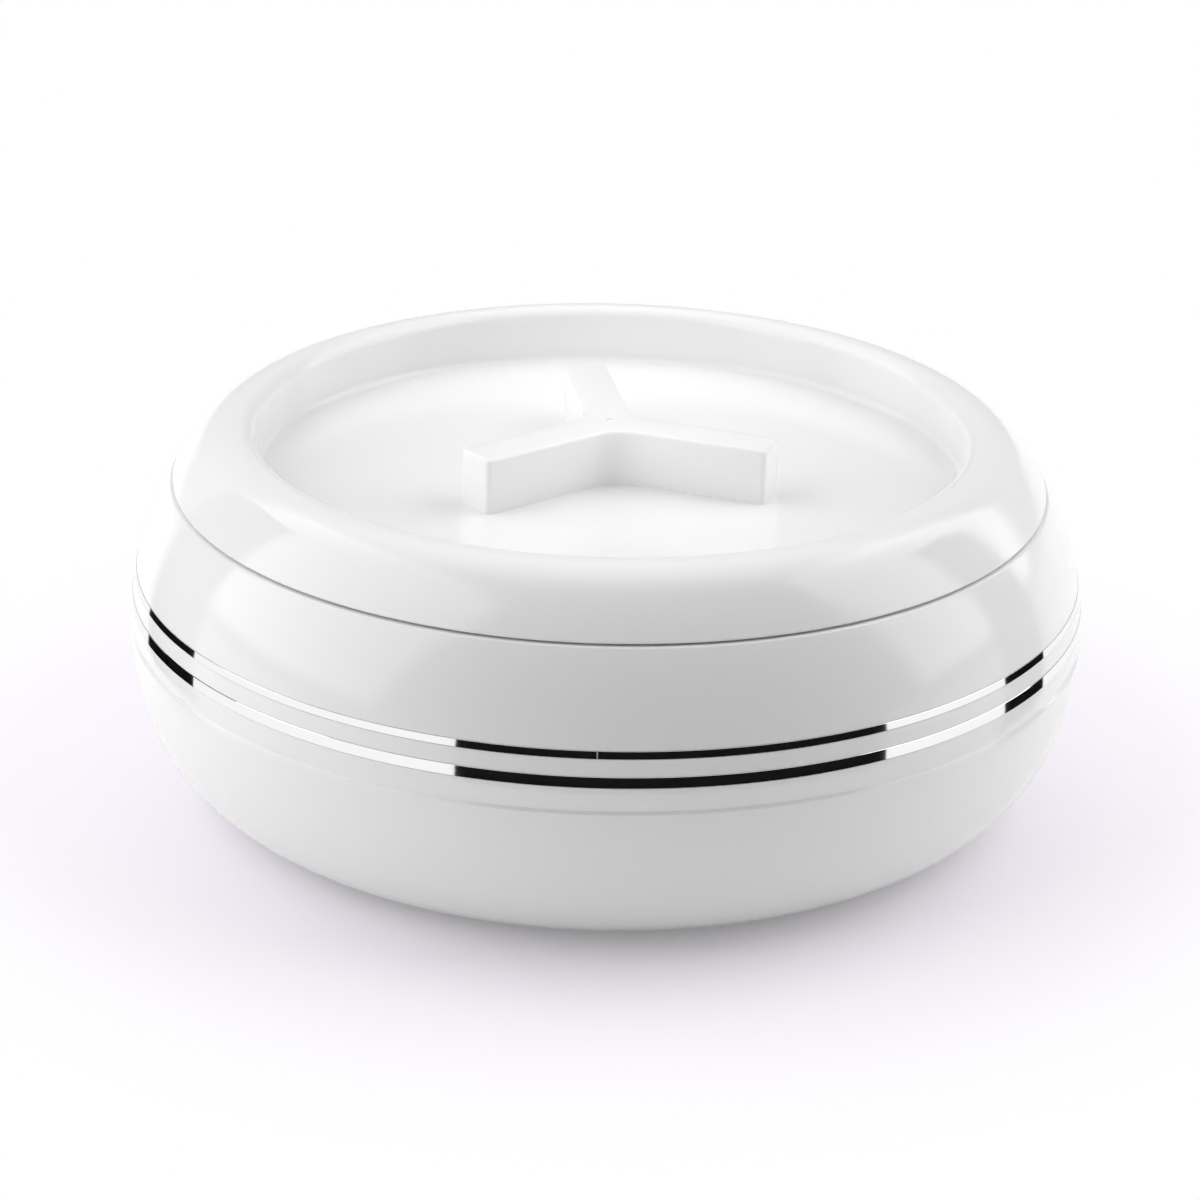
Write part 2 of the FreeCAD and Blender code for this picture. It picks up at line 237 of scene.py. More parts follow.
def node(tree, kind, links=None, values=None, **settings):
    """Add a node. links maps an input to another node's output, and values sets constants."""
    made = tree.nodes.new(kind)
    for key, value in settings.items():
        setattr(made, key, value)
    for key, value in (values or {}).items():
        made.inputs[key].default_value = value
    for key, source in (links or {}).items():
        tree.links.new(source, made.inputs[key])
    return made


def blank(name):
    """A new material, with its tree, its shader and the object coordinates."""
    material = bpy.data.materials.new(name)
    material.use_nodes = True
    tree = material.node_tree
    tree.nodes.clear()
    shader = node(tree, "ShaderNodeBsdfPrincipled")
    node(tree, "ShaderNodeOutputMaterial", links={"Surface": shader.outputs["BSDF"]})
    place = node(tree, "ShaderNodeTexCoord").outputs["Object"]
    return material, tree, shader, place


print("hex 808080 in linear light:", [round(value, 3) for value in srgb("808080")[:3]])

# %% [markdown]
# The shells are injection-moulded ABS with a polished tool finish. Moulded gloss plastic is
# never a perfect mirror: it has a faint long ripple from cooling and a slight change of
# polish from place to place, and this is what makes it look like plastic and not like glass.
# The ripple is about 9 mm long and a few hundredths of a millimetre high.

# %% White gloss ABS
abs_white = "efefef"
abs_ior = 1.52
ripple_mm = 9.0
ripple_height_mm = 0.03
ripple_strength = 0.06
polish_patch_mm = 35.0
polish_low = 0.12
polish_high = 0.2
noise_low = 0.3
noise_high = 0.7


def gloss_abs(name):
    material, tree, shader, place = blank(name)
    patches = node(tree, "ShaderNodeTexNoise", links={"Vector": place},
                   values={"Scale": 1 / (polish_patch_mm * MM), "Detail": 3.0, "Roughness": 0.55})
    polish = node(tree, "ShaderNodeMapRange", links={"Value": patches.outputs["Fac"]},
                  values={"From Min": noise_low, "From Max": noise_high,
                          "To Min": polish_low, "To Max": polish_high})
    ripple = node(tree, "ShaderNodeTexNoise", links={"Vector": place},
                  values={"Scale": 1 / (ripple_mm * MM), "Detail": 1.0, "Roughness": 0.4})
    bump = node(tree, "ShaderNodeBump", links={"Height": ripple.outputs["Fac"]},
                values={"Strength": ripple_strength, "Distance": ripple_height_mm * MM})
    tree.links.new(polish.outputs["Result"], shader.inputs["Roughness"])
    tree.links.new(bump.outputs["Normal"], shader.inputs["Normal"])
    shader.inputs["Base Color"].default_value = srgb(abs_white)
    shader.inputs["IOR"].default_value = abs_ior
    return material


white_abs = gloss_abs("gloss_white_abs")
print("material", white_abs.name)

# %% [markdown]
# The neck ring, the liner and the filler plug are polypropylene with a finer satin finish.
# It scatters light in wide soft highlights, and a fine grain from the tool breaks them up.
# The real grain is about 0.1 mm, which no view here shows, so it is drawn at 0.6 mm.

# %% Satin polypropylene
pp_white = "e6e6e5"
pp_ior = 1.49
grain_mm = 0.6
grain_height_mm = 0.02
satin_low = 0.32
satin_high = 0.44


def satin_pp(name):
    material, tree, shader, place = blank(name)
    grain = node(tree, "ShaderNodeTexNoise", links={"Vector": place},
                 values={"Scale": 1 / (grain_mm * MM), "Detail": 2.0, "Roughness": 0.6})
    bump = node(tree, "ShaderNodeBump", links={"Height": grain.outputs["Fac"]},
                values={"Strength": 0.25, "Distance": grain_height_mm * MM})
    rough = node(tree, "ShaderNodeMapRange", links={"Value": grain.outputs["Fac"]},
                 values={"To Min": satin_low, "To Max": satin_high})
    tree.links.new(rough.outputs["Result"], shader.inputs["Roughness"])
    tree.links.new(bump.outputs["Normal"], shader.inputs["Normal"])
    shader.inputs["Base Color"].default_value = srgb(pp_white)
    shader.inputs["IOR"].default_value = pp_ior
    return material


inner_white = satin_pp("satin_white_polypropylene")
print("material", inner_white.name)

# %% [markdown]
# The bands are strips of bright plated metal foil. Their mirror is nearly perfect, so they
# show the room as hard black and white stretches. A little roughness keeps the edges of
# these stretches from looking cut out.

# %% Plated foil
plate_colour = "f6f6f7"
foil_wave_mm = 14
mirror_low = 0.03
mirror_high = 0.08


def plated(name):
    material, tree, shader, place = blank(name)
    wave = node(tree, "ShaderNodeTexNoise", links={"Vector": place},
                values={"Scale": 1 / (foil_wave_mm * MM), "Detail": 2.0})
    rough = node(tree, "ShaderNodeMapRange", links={"Value": wave.outputs["Fac"]},
                 values={"To Min": mirror_low, "To Max": mirror_high})
    tree.links.new(rough.outputs["Result"], shader.inputs["Roughness"])
    shader.inputs["Base Color"].default_value = srgb(plate_colour)
    shader.inputs["Metallic"].default_value = 1.0
    return material


band_metal = plated("bright_plated_foil")
print("material", band_metal.name)

# %% [markdown]
# The bowl is pressed stainless steel, polished on a turning wheel. The wheel leaves fine
# rings round the axis, so the grain follows the distance from the axis and the height and is
# the same all the way round. The rings are about 0.2 mm apart and are drawn at 0.8 mm.

# %% Ring-brushed stainless steel
steel_light = "cfcfd0"
steel_dark = "b4b5b7"
ring_mm = 0.8
ring_height_mm = 0.02
brushed_low = 0.22
brushed_high = 0.36


def ring_brushed(name):
    material, tree, shader, place = blank(name)
    parts = node(tree, "ShaderNodeSeparateXYZ", links={"Vector": place})
    flat = node(tree, "ShaderNodeCombineXYZ",
                links={"X": parts.outputs["X"], "Y": parts.outputs["Y"]})
    radius = node(tree, "ShaderNodeVectorMath", operation="LENGTH",
                  links={"Vector": flat.outputs["Vector"]})
    rings = node(tree, "ShaderNodeCombineXYZ",
                 links={"X": radius.outputs["Value"], "Z": parts.outputs["Z"]})
    grain = node(tree, "ShaderNodeTexNoise", links={"Vector": rings.outputs["Vector"]},
                 values={"Scale": 1 / (ring_mm * MM), "Detail": 3.0, "Roughness": 0.7})
    colour = node(tree, "ShaderNodeValToRGB", links={"Fac": grain.outputs["Fac"]})
    colour.color_ramp.elements[0].position = noise_low
    colour.color_ramp.elements[0].color = srgb(steel_dark)
    colour.color_ramp.elements[1].position = noise_high
    colour.color_ramp.elements[1].color = srgb(steel_light)
    rough = node(tree, "ShaderNodeMapRange", links={"Value": grain.outputs["Fac"]},
                 values={"To Min": brushed_low, "To Max": brushed_high})
    bump = node(tree, "ShaderNodeBump", links={"Height": grain.outputs["Fac"]},
                values={"Strength": 0.3, "Distance": ring_height_mm * MM})
    tree.links.new(colour.outputs["Color"], shader.inputs["Base Color"])
    tree.links.new(rough.outputs["Result"], shader.inputs["Roughness"])
    tree.links.new(bump.outputs["Normal"], shader.inputs["Normal"])
    shader.inputs["Metallic"].default_value = 1.0
    return material


bowl_metal = ring_brushed("ring_brushed_stainless")
print("material", bowl_metal.name)

# %% [markdown]
# The seal is pale silicone rubber: soft, dull and a little cloudy. The foam inside the walls
# is rigid polyurethane, cream coloured and full of small bubbles, and the screws are zinc
# plated steel. These three are mostly out of sight.

# %% Silicone, foam and zinc
silicone_white = "dcdddd"
silicone_ior = 1.41
cloud_mm = 5
foam_dark = "d9c78f"
foam_light = "efe3b8"
bubble_mm = 1.2
bubble_depth_mm = 0.3
zinc_grey = "c8c9cc"
spangle_mm = 0.8


def silicone(name):
    material, tree, shader, place = blank(name)
    cloud = node(tree, "ShaderNodeTexNoise", links={"Vector": place},
                 values={"Scale": 1 / (cloud_mm * MM), "Detail": 3.0})
    rough = node(tree, "ShaderNodeMapRange", links={"Value": cloud.outputs["Fac"]},
                 values={"To Min": 0.5, "To Max": 0.65})
    tree.links.new(rough.outputs["Result"], shader.inputs["Roughness"])
    shader.inputs["Base Color"].default_value = srgb(silicone_white)
    shader.inputs["IOR"].default_value = silicone_ior
    shader.inputs["Subsurface Weight"].default_value = 0.1
    shader.inputs["Subsurface Scale"].default_value = 2 * MM
    return material


def rigid_foam(name):
    material, tree, shader, place = blank(name)
    bubbles = node(tree, "ShaderNodeTexVoronoi", links={"Vector": place},
                   values={"Scale": 1 / (bubble_mm * MM)})
    colour = node(tree, "ShaderNodeValToRGB", links={"Fac": bubbles.outputs["Distance"]})
    colour.color_ramp.elements[0].color = srgb(foam_dark)
    colour.color_ramp.elements[1].color = srgb(foam_light)
    bump = node(tree, "ShaderNodeBump", links={"Height": bubbles.outputs["Distance"]},
                values={"Strength": 0.6, "Distance": bubble_depth_mm * MM})
    tree.links.new(colour.outputs["Color"], shader.inputs["Base Color"])
    tree.links.new(bump.outputs["Normal"], shader.inputs["Normal"])
    shader.inputs["Roughness"].default_value = 0.9
    return material


def zinc(name):
    material, tree, shader, place = blank(name)
    spangle = node(tree, "ShaderNodeTexNoise", links={"Vector": place},
                   values={"Scale": 1 / (spangle_mm * MM), "Detail": 2.0})
    rough = node(tree, "ShaderNodeMapRange", links={"Value": spangle.outputs["Fac"]},
                 values={"To Min": 0.25, "To Max": 0.45})
    tree.links.new(rough.outputs["Result"], shader.inputs["Roughness"])
    shader.inputs["Base Color"].default_value = srgb(zinc_grey)
    shader.inputs["Metallic"].default_value = 1.0
    return material


seal_rubber = silicone("pale_silicone_rubber")
foam = rigid_foam("rigid_polyurethane_foam")
screw_zinc = zinc("zinc_plated_steel")
print("materials", seal_rubber.name, foam.name, screw_zinc.name)

# %% [markdown]
# A finished piece gets its material and says which body it moves with and which plain solids
# of the frame it stands for.

# %% Hand a piece over
def hand_over(piece, material, body, slot, *nodes):
    """Give a piece its only material, its body and the solids it stands for; slot is not used."""
    piece.data.materials.clear()
    piece.data.materials.append(material)
    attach(piece, body)
    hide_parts(*nodes)
    print(piece.name, "rides on", body, "and stands for", *nodes)


print("materials to hand over:", len(bpy.data.materials))

# %% [markdown]
# The lower shell is the bottom half of the outside. Its wall is the same all over, as
# moulded walls are, so the inner line is the outer one moved in by the wall. Its foot is a
# flat ring round a shallow step. The top edge leans in a little and catches a thin line of
# light, which is all that the joint at the waist shows.

# %% Lower shell
foot_width = 8.0
foot_height = 2.0
waist_slope_drop = 0.7
waist_slope_run = 0.55
waist_blend = 4.5
waist_lap = 3.0
filler_hole_r = 9.0
foot_edge_round = 0.8
foot_step_round = 0.6


def side_r(z, inset=0.0):
    """Radius of the upper side arc at a height, moved in by an inset."""
    return upper_centre[0] + math.sqrt((upper_side_r - inset) ** 2 - (z - waist_z) ** 2)


def low_r(z, inset=0.0):
    """Radius of the lower side arc at a height, moved in by an inset."""
    return lower_centre[0] + math.sqrt((lower_side_r - inset) ** 2 - (z - waist_z) ** 2)


foot_inner_r = foot_centre[0] - foot_width
plate_top_z = foot_height + shell_wall
lap_z = waist_joint_z - waist_lap
joint_r = side_r(waist_joint_z)
lap_r = joint_r - shell_wall / 2
hole_edge = (filler_hole_r, foot_height)
foot_top = (foot_inner_r, foot_height)
foot_bottom = (foot_inner_r, 0)
foot_step = rounded(hole_edge, foot_top, foot_bottom, foot_step_round)
foot_rim = rounded(foot_top, foot_bottom, (foot_centre[0], 0), foot_edge_round)
slope_z = waist_joint_z - waist_slope_drop
top_edge = [
    upper_centre + (side_r(slope_z), slope_z),
    (joint_r - waist_slope_run, waist_joint_z),
]
lower_steps = [hole_edge] + foot_step + foot_rim
lower_steps += [
    (foot_centre[0], 0),
    foot_centre + toward(foot_centre, lower_centre, foot_corner_r),
    lower_centre + (body_radius, waist_z),
]
lower_steps += top_edge
lower_steps += [
    (lap_r, waist_joint_z),
    (lap_r, lap_z),
    (low_r(lap_z, shell_wall), lap_z),
    lower_centre + toward(foot_centre, lower_centre, foot_corner_r - shell_wall),
    foot_centre + (foot_centre[0], shell_wall),
    (foot_inner_r + shell_wall, shell_wall),
    (foot_inner_r + shell_wall, plate_top_z),
    (filler_hole_r, plate_top_z),
]
lower_piece = lathe(outline("pot_lower_shell", lower_steps))
hand_over(lower_piece, white_abs, "base", "white_shell", "lower_shell")
print("joint radius", round(joint_r, 2))

# %% [markdown]
# The upper shell runs from the waist to the shoulder that the lid sits over. Two shallow
# grooves take the bands. At the waist it leans in to meet the lower shell's edge, so that
# this edge shows as a light ledge. The shoulder's outer edge is rounded, and under the dark
# gap of the lid it shows as a bright line. An edge's rounding starts a little below where the
# arc begins, so that the side runs straight into it.

# %% Upper shell
band_depth = 0.35
shoulder_round = 0.8
neck_hole_r = 101.9
bond_gap = 0.1
groove_edge = 0.12
edge_lead = 1.25
band_spans = [
    (level("lower_band", 0), level("lower_band", 1)),
    (level("upper_band", 0), level("upper_band", 1)),
]


def on_side(z, inset):
    """Point on the upper side arc moved in by an inset, at a height."""
    return (side_r(z, inset), z)


shoulder_r = side_r(shoulder_z)
blend_z = waist_joint_z + waist_blend
upper_steps = [(joint_r - waist_slope_run, waist_joint_z), (side_r(blend_z), blend_z)]
for low, high in band_spans:
    low = low - bond_gap / 2
    high = high + bond_gap / 2
    upper_steps += [
        upper_centre + on_side(low - groove_edge, 0),
        on_side(low, groove_edge),
        on_side(low, band_depth),
        upper_centre + on_side(high, band_depth),
        on_side(high, groove_edge),
        on_side(high + groove_edge, 0),
    ]
shoulder_start = on_side(shoulder_z - edge_lead * shoulder_round, 0)
shoulder_edge = (shoulder_r, shoulder_z)
hole_top = (neck_hole_r, shoulder_z)
upper_steps += [upper_centre + shoulder_start]
upper_steps += rounded(shoulder_start, shoulder_edge, hole_top, shoulder_round)
upper_steps += [
    hole_top,
    (neck_hole_r, shoulder_z - shell_wall),
    (side_r(shoulder_z - shell_wall, shell_wall), shoulder_z - shell_wall),
    upper_centre + on_side(waist_joint_z, shell_wall),
    (joint_r - shell_wall, lap_z + bond_gap),
    (lap_r - bond_gap, lap_z + bond_gap),
    (lap_r - bond_gap, waist_joint_z),
]
upper_piece = lathe(outline("pot_upper_shell", upper_steps))
hand_over(upper_piece, white_abs, "base", "white_shell", "upper_shell")
print("shoulder radius", round(shoulder_r, 2))

# %% [markdown]
# Each band is a thin strip bent round the pot, with its ends butted together. The upper
# joint is at the front, where a hairline shows, and the lower one is at the back. The strip
# is flat across its width with edges just broken, because a foil strip isn't domed.

# %% Plated bands
band_proud = 0.05
band_joint_mm = 0.35
band_edge = 0.08
front_joint_at = -90.6
back_joint_at = 90.0
for name, joint_at in (("upper_band", front_joint_at), ("lower_band", back_joint_at)):
    low = level(name, 0)
    high = level(name, 1)
    gap = math.degrees(band_joint_mm / side_r(low))
    strip = [
        on_side(low, band_depth - bond_gap / 2),
        on_side(low, band_edge),
        on_side(low + band_edge, -band_proud),
        upper_centre + on_side(high - band_edge, -band_proud),
        on_side(high, band_edge),
        on_side(high, band_depth - bond_gap / 2),
    ]
    strip_piece = lathe(outline("plated_" + name, strip), gap=gap, gap_at=joint_at)
    hand_over(strip_piece, band_metal, "base", "plated_band", name)

# %% [markdown]
# The bowl is pressed from one round sheet: a flat floor, a large corner, a wall that leans
# out by two degrees so that the press can draw it, and a rim rolled flat over the shoulder.
# A shallow ring is pressed into the floor to stiffen it.

# %% Steel bowl
steel = 0.5
neck_wall = 3.0
mouth_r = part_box("neck_ring")[1][0] / MM - (neck_wall + steel)
bowl_floor_z = level("inner_bowl", 0) + steel
bowl_corner_r = 18.0
bowl_draft = math.radians(2.0)
mouth_round = 1.2
ring_in_r = 58.0
ring_out_r = 64.0
ring_slope = 1.0
ring_rise = 0.5
rim_top_z = level("inner_bowl", 1)
rim_out_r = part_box("inner_bowl")[1][0] / MM
bend_centre = (mouth_r + mouth_round, rim_top_z - mouth_round)
corner_z = bowl_floor_z + bowl_corner_r
lean = (bend_centre[1] - corner_z) * math.sin(bowl_draft)
corner_centre = (mouth_r - (bowl_corner_r + lean) / math.cos(bowl_draft), corner_z)


def corner_end(radius):
    """Point where the bowl's bottom corner runs into its leaning wall."""
    run = radius * math.cos(bowl_draft)
    rise = radius * math.sin(bowl_draft)
    return (corner_centre[0] + run, corner_centre[1] - rise)


press_ring = [
    (ring_in_r, 0.0),
    (ring_in_r + ring_slope, ring_rise),
    (ring_out_r - ring_slope, ring_rise),
    (ring_out_r, 0.0),
]
bowl_steps = [(0, bowl_floor_z - steel)]
bowl_steps += [(r, bowl_floor_z - steel + rise) for r, rise in press_ring]
bowl_steps += [(corner_centre[0], bowl_floor_z - steel)]
bowl_steps += [
    corner_centre + corner_end(bowl_corner_r + steel),
    (mouth_r + steel, bend_centre[1]),
    bend_centre + (bend_centre[0], rim_top_z - steel),
    (rim_out_r, rim_top_z - steel),
    (rim_out_r, rim_top_z),
    (bend_centre[0], rim_top_z),
    bend_centre + (mouth_r, bend_centre[1]),
    corner_end(bowl_corner_r),
    corner_centre + (corner_centre[0], bowl_floor_z),
]
bowl_steps += [(r, bowl_floor_z + rise) for r, rise in reversed(press_ring)]
bowl_steps += [(0, bowl_floor_z)]
bowl_piece = lathe(outline("steel_bowl", bowl_steps))
hand_over(bowl_piece, bowl_metal, "base", "bowl_steel", "inner_bowl")
print("bowl mouth radius", round(mouth_r, 2), "floor at", round(bowl_floor_z, 2))

# %% [markdown]
# The neck ring traps the bowl's rim and stands up into the lid. It has three short lugs, and
# each lug ends in a small post that stops the lid when it has turned far enough. The ring is
# turned on the lathe. The lugs are sectors turned the same way and joined to it.

# %% Neck ring with its lugs
neck_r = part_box("lid_seal")[1][0] / MM
neck_inner_r = mouth_r + steel
neck_top_z = level("neck_ring", 1)
neck_edge = 0.2
lug_reach = 2.2
lug_thickness = 1.4
lug_gap = 0.3
lug_edge = 0.25
lug_span = 20.0
lug_offset = 30.0
lug_twist = 25.0
lug_stop_span = 4.0
lug_stop_clear = 0.6
lug_root = 0.4
lug_drop = 6.8
neck_lug_at = 39.5
third_turn = 120
stop_short = 0.1
fewest_steps = 6
foot_step_r = rim_out_r + bond_gap
lid_lug_z = level("lid_liner", 1) - lug_drop
neck_lug_z = lid_lug_z + lug_thickness + lug_gap


def sector(name, low_r_mm, high_r_mm, low_z, high_z, middle, span):
    """Block between two radii and two heights, turned through a span about its middle angle."""
    corners = [(low_r_mm, low_z), (high_r_mm, low_z), (high_r_mm, high_z), (low_r_mm, high_z)]
    block = outline(name, path(corners, (0, lug_edge, lug_edge, 0)))
    steps = max(fewest_steps, round(span))
    return lathe(block, segments=steps, gap=360 - span, gap_at=middle + 180)


def combine(main, parts, operation="UNION"):
    """Merge parts into the main piece, or cut them from it, one at a time."""
    for part in parts:
        deselect_all()
        main.select_set(True)
        bpy.context.view_layer.objects.active = main
        cut = main.modifiers.new("combine", "BOOLEAN")
        cut.operation = operation
        cut.solver = "EXACT"
        cut.object = part
        bpy.ops.object.modifier_apply(modifier=cut.name)
        bpy.data.objects.remove(part)
    smooth(main)


neck_corners = [
    (foot_step_r, shoulder_z),
    (neck_r, shoulder_z),
    (neck_r, neck_top_z),
    (neck_inner_r, neck_top_z),
    (neck_inner_r, rim_top_z + bond_gap),
    (foot_step_r, rim_top_z + bond_gap),
]
neck_rounds = (0, 0, neck_edge, neck_edge, neck_edge, 0)
neck_piece = lathe(outline("neck_collar", path(neck_corners, neck_rounds)))
lug_in_r = neck_r - lug_root
lug_out_r = neck_r + lug_reach
lug_top = neck_lug_z + lug_thickness
stop_top = lug_top - stop_short
neck_parts = []
for k in range(3):
    middle = neck_lug_at + third_turn * k
    stop_at = middle + lug_offset - lug_span / 2 - lug_twist - lug_stop_clear - lug_stop_span / 2
    neck_parts += [
        sector("lug", lug_in_r, lug_out_r, neck_lug_z, lug_top, middle, lug_span),
        sector("stop", lug_in_r, lug_out_r, shoulder_z, stop_top, stop_at, lug_stop_span),
    ]
combine(neck_piece, neck_parts)
hand_over(neck_piece, inner_white, "base", "white_inner_plastic", "neck_ring")

# %% [markdown]
# The seal is a flat silicone ring with two rounded lips at its outer edge, where it presses
# on the neck.

# %% Seal
seal_low = level("lid_seal", 0)
seal_high = level("lid_seal", 1)
seal_inset = 0.65
seal_in_r = mouth_r - seal_inset
seal_lip_round = 0.4
seal_inner_round = 0.2
seal_corners = [
    (seal_in_r, seal_low),
    (neck_r, seal_low),
    (neck_r, seal_high),
    (seal_in_r, seal_high),
]
seal_rounds = (seal_inner_round, seal_lip_round, seal_lip_round, seal_inner_round)
seal_piece = lathe(outline("silicone_seal", path(seal_corners, seal_rounds)))
hand_over(seal_piece, seal_rubber, "seal", "seal_silicone", "lid_seal")

# %% [markdown]
# The lid shell is the piece that the eye meets first. From its thin lower edge it follows the
# pot's side, rolls over the crest, drops down a nearly upright wall and turns with a small
# fillet into the flat floor of the dish. Again the wall is one thickness all over.

# %% Lid shell
lid_gap = 0.5
rim_z = level("upper_shell", 1) + lid_gap
rim_round = 0.5
roll_r = 3.8
dish_draft = math.radians(2.5)
dish_fillet = 2.0
roll_centre = (crest_centre[0], total_height - roll_r)


def dish_steps(grow):
    """Steps from the top of the crest down the dish's wall to the axis, grown by an amount."""
    roll = roll_r - grow
    corner = dish_fillet + grow
    wall_top = (
        roll_centre[0] - roll * math.cos(dish_draft),
        roll_centre[1] - roll * math.sin(dish_draft),
    )
    fillet_z = recess_floor_z + dish_fillet
    run = wall_top[0] - corner * math.cos(dish_draft)
    fillet_r = run - (wall_top[1] - corner * math.sin(dish_draft) - fillet_z) * math.tan(dish_draft)
    wall_foot = (fillet_r + corner * math.cos(dish_draft), fillet_z - corner * math.sin(dish_draft))
    floor_z = recess_floor_z - grow
    return [
        roll_centre + wall_top,
        wall_foot,
        (fillet_r, fillet_z, fillet_r, floor_z),
        (0, floor_z),
    ]


def back_along(steps, start):
    """The same steps walked the other way, beginning from their last point."""
    points = [start] + [step[-2:] for step in steps]
    turned_back = []
    for k in range(len(steps), 0, -1):
        centre = steps[k - 1][:-2]
        turned_back.append(tuple(centre) + tuple(points[k - 1]))
    return turned_back


rim_r = side_r(rim_z)
inner_rim_r = side_r(rim_z, lid_wall)
crest_top = (crest_centre[0], total_height)
inner_top = (crest_centre[0], total_height - lid_wall)
rim_start = on_side(rim_z + edge_lead * rim_round, 0)
outer_dish = dish_steps(0)
inner_dish = dish_steps(lid_wall)
rim_corner = rounded((inner_rim_r, rim_z), (rim_r, rim_z), rim_start, rim_round)
lid_steps = [(inner_rim_r, rim_z)] + rim_corner
lid_steps += [
    rim_start,
    upper_centre + toward(crest_centre, upper_centre, crest_arc_r),
    crest_centre + crest_top,
]
lid_steps += outer_dish
lid_steps += [inner_dish[-1]] + back_along(inner_dish, inner_top)
lid_steps += [
    crest_centre + toward(crest_centre, upper_centre, crest_arc_r - lid_wall),
    upper_centre + (inner_rim_r, rim_z),
]
lid_piece = lathe(outline("lid_top_shell", lid_steps))
hand_over(lid_piece, white_abs, "lid", "white_shell", "lid_shell")
print("lid rim radius", round(rim_r, 2), "and its height", round(rim_z, 2))

# %% [markdown]
# The liner closes the lid from below. It is a shallow cup that dips into the bowl, with a
# flange and a skirt round it that bears three lugs. A shallow groove breaks up the flat
# underside, where the mould would otherwise leave a sink mark.

# %% Lid liner
liner_wall = 1.6
plug_clear = 0.8
skirt_clear = 0.5
liner_foot_inset = 0.7
sink_groove_in_r = 48.0
sink_groove_out_r = 52.0
sink_groove_depth = 0.6
skirt_root_in = 0.6
skirt_root_down = 0.9
skirt_chamfer = 0.6
plug_r = mouth_r - plug_clear
plug_inner_r = plug_r - liner_wall
plug_bottom_z = level("lid_liner", 0)
plug_corner_r = 6.0
plug_draft = math.radians(3.0)
flange_top_z = level("lid_liner", 1)
flange_z = flange_top_z - liner_wall
skirt_inner_r = neck_r + lug_reach + skirt_clear
skirt_r = skirt_inner_r + liner_wall
lid_lug_top = lid_lug_z + lug_thickness
lug_middle_z = lid_lug_z + lug_thickness / 2
liner_foot_r = side_r(lug_middle_z, lid_wall + bond_gap) - liner_foot_inset
plug_fillet_z = plug_bottom_z + plug_corner_r
plug_lean = (flange_z - plug_fillet_z) * math.sin(plug_draft)
plug_fillet_r = plug_r - (plug_corner_r + plug_lean) / math.cos(plug_draft)


def plug_corner(radius):
    """Point where the plug's corner runs into its leaning wall."""
    run = radius * math.cos(plug_draft)
    rise = radius * math.sin(plug_draft)
    return (plug_fillet_r + run, plug_fillet_z - rise)


liner_steps = [
    (0, plug_bottom_z),
    (sink_groove_in_r, plug_bottom_z),
    (sink_groove_in_r + sink_groove_depth, plug_bottom_z + sink_groove_depth),
    (sink_groove_out_r - sink_groove_depth, plug_bottom_z + sink_groove_depth),
    (sink_groove_out_r, plug_bottom_z),
    (plug_fillet_r, plug_bottom_z),
    (plug_fillet_r, plug_fillet_z) + plug_corner(plug_corner_r),
    (plug_r, flange_z),
    (skirt_inner_r - skirt_root_in, flange_z),
    (skirt_inner_r, flange_z - skirt_root_down),
    (skirt_inner_r, lid_lug_z),
    (liner_foot_r, lid_lug_z),
    (liner_foot_r, lid_lug_top),
    (skirt_r, lid_lug_top),
    (skirt_r, flange_top_z - skirt_chamfer),
    (skirt_r - skirt_chamfer, flange_top_z),
    (plug_inner_r, flange_top_z),
    (plug_inner_r, flange_z),
    plug_corner(plug_corner_r - liner_wall),
    (plug_fillet_r, plug_fillet_z, plug_fillet_r, plug_bottom_z + liner_wall),
    (0, plug_bottom_z + liner_wall),
]
liner_piece = lathe(outline("lid_under_liner", liner_steps))
lid_lug_in_r = neck_r + skirt_clear
lid_lug_out_r = skirt_inner_r + lug_root
lid_lugs = []
for k in range(3):
    middle = neck_lug_at + lug_offset + third_turn * k
    lid_lugs.append(sector(
        "lid_lug", lid_lug_in_r, lid_lug_out_r, lid_lug_z, lid_lug_top, middle, lug_span))
combine(liner_piece, lid_lugs)
hand_over(liner_piece, inner_white, "lid", "white_inner_plastic", "lid_liner")

# %% [markdown]
# The grip is a separate moulding: three arms that meet in round webs. Its outline is drawn
# from above, filled and extruded to its height. The upright corners are part of the outline.

# %% Three-arm grip
arm_first = 99.5
arm_reach = 45.5
arm_half = 5.9
arm_web_r = 12.0
arm_corner_r = 1.5
grip_top_z = level("lid_handle", 1)
half_third = third_turn / 2
straight = (arm_half + arm_web_r) / math.tan(math.radians(half_third))
web_reach = (arm_half + arm_web_r) / math.sin(math.radians(half_third))


def spun(point, degrees):
    """A point of the plan turned about the middle."""
    c = math.cos(math.radians(degrees))
    s = math.sin(math.radians(degrees))
    return (point[0] * c - point[1] * s, point[0] * s + point[1] * c)


grip_steps = []
for k in range(3):
    turn = arm_first + third_turn * k
    end = arm_reach - arm_corner_r
    side = arm_half - arm_corner_r
    grip_steps += [
        spun((straight, -arm_half), turn),
        spun((end, -arm_half), turn),
        spun((end, -side), turn) + spun((arm_reach, -side), turn),
        spun((arm_reach, side), turn),
        spun((end, side), turn) + spun((end, arm_half), turn),
        spun((straight, arm_half), turn),
        spun((web_reach, 0), turn + half_third) + spun((straight, -arm_half), turn + third_turn),
    ]
grip_piece = outline("three_arm_grip", grip_steps, plane=TOP)
bpy.ops.mesh.edge_face_add()
bpy.ops.transform.translate(value=(0, 0, recess_floor_z * MM))
lift = (grip_top_z - recess_floor_z) * MM
bpy.ops.mesh.extrude_region_move(TRANSFORM_OT_translate={"value": (0, 0, lift)})
bpy.ops.mesh.select_all(action="SELECT")
bpy.ops.mesh.normals_make_consistent(inside=False)
bpy.ops.object.mode_set(mode="OBJECT")
